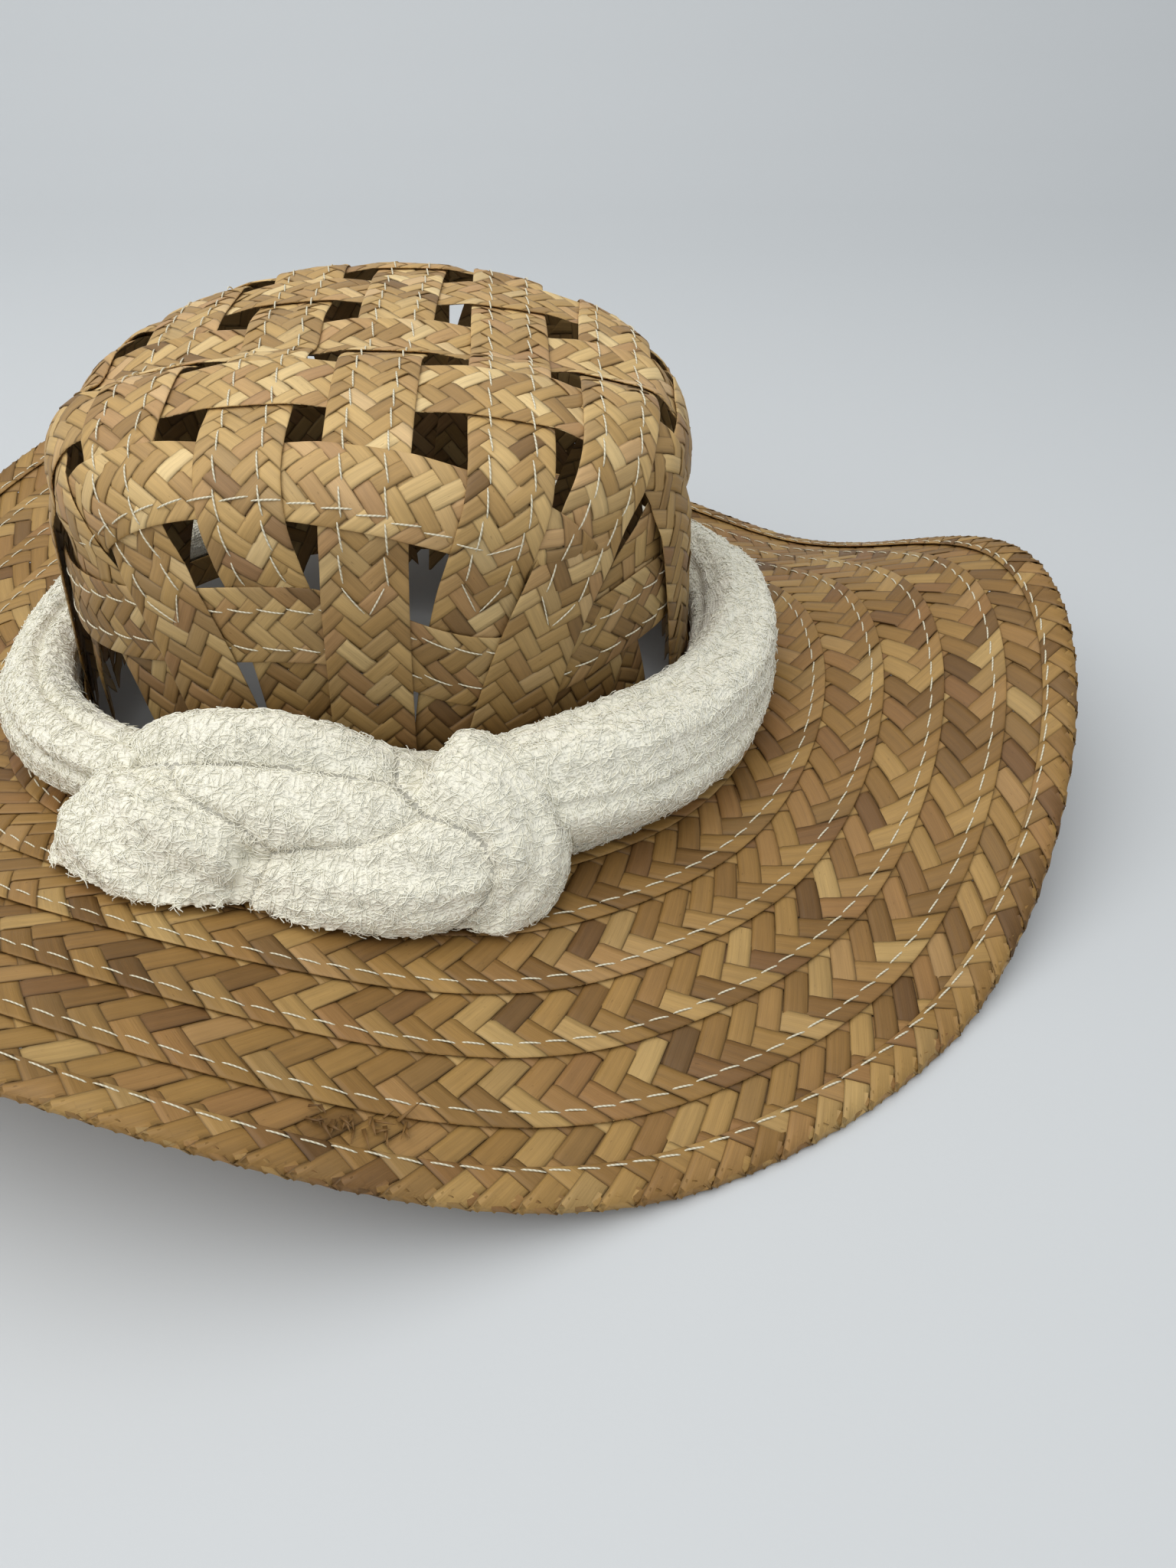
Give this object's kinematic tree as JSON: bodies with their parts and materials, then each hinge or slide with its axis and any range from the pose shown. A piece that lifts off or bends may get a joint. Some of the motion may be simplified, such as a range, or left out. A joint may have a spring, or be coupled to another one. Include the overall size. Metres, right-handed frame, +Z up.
{
  "type": "plaited sun hat",
  "caption": "Wide-brimmed sun hat of plaited palm leaf, with an open-work crown, a wavy stitched brim and a knotted gauze scarf as hatband that lifts off.",
  "frame": {"origin": "on the table under the middle of the crown, at the centre of the brim's plan", "axes": "+Z up through the crown, +X along the crown's length towards the front of the hat, +Y to the wearer's left"},
  "size_m": [0.469, 0.433, 0.1515],
  "materials": {
    "palm_braid": "plaited dried palm leaf, satin",
    "crown_braid": "plaited dried palm leaf, lighter, satin",
    "sewing_thread": "natural cotton thread",
    "scarf_gauze": "loose off-white cotton gauze"
  },
  "bodies": {
    "hat": {"lengthwise_strip_1": "crown_braid", "lengthwise_strip_2": "crown_braid", "lengthwise_strip_3": "crown_braid", "lengthwise_strip_4": "crown_braid", "lengthwise_strip_5": "crown_braid", "crosswise_strip_1": "crown_braid", "crosswise_strip_2": "crown_braid", "crosswise_strip_3": "crown_braid", "crosswise_strip_4": "crown_braid", "crosswise_strip_5": "crown_braid", "crosswise_strip_6": "crown_braid", "crosswise_strip_7": "crown_braid", "side_band": "crown_braid", "base_round": "palm_braid", "brim_round_1": "palm_braid", "brim_round_2": "palm_braid", "brim_round_3": "palm_braid", "brim_round_4": "palm_braid", "brim_round_5": "palm_braid", "brim_round_6": "palm_braid", "rim_binding": "palm_braid", "crown_stitching": "sewing_thread", "side_stitching": "sewing_thread", "brim_stitching": "sewing_thread", "rim_stitching": "sewing_thread"},
    "scarf": {"scarf_band": "scarf_gauze", "scarf_knot": "scarf_gauze"}
  },
  "joints": [
    {"name": "scarf_lift", "type": "slide", "parent": "hat", "child": "scarf", "axis": [0, 0, 1], "range_m": [0, 0.14]}
  ]
}
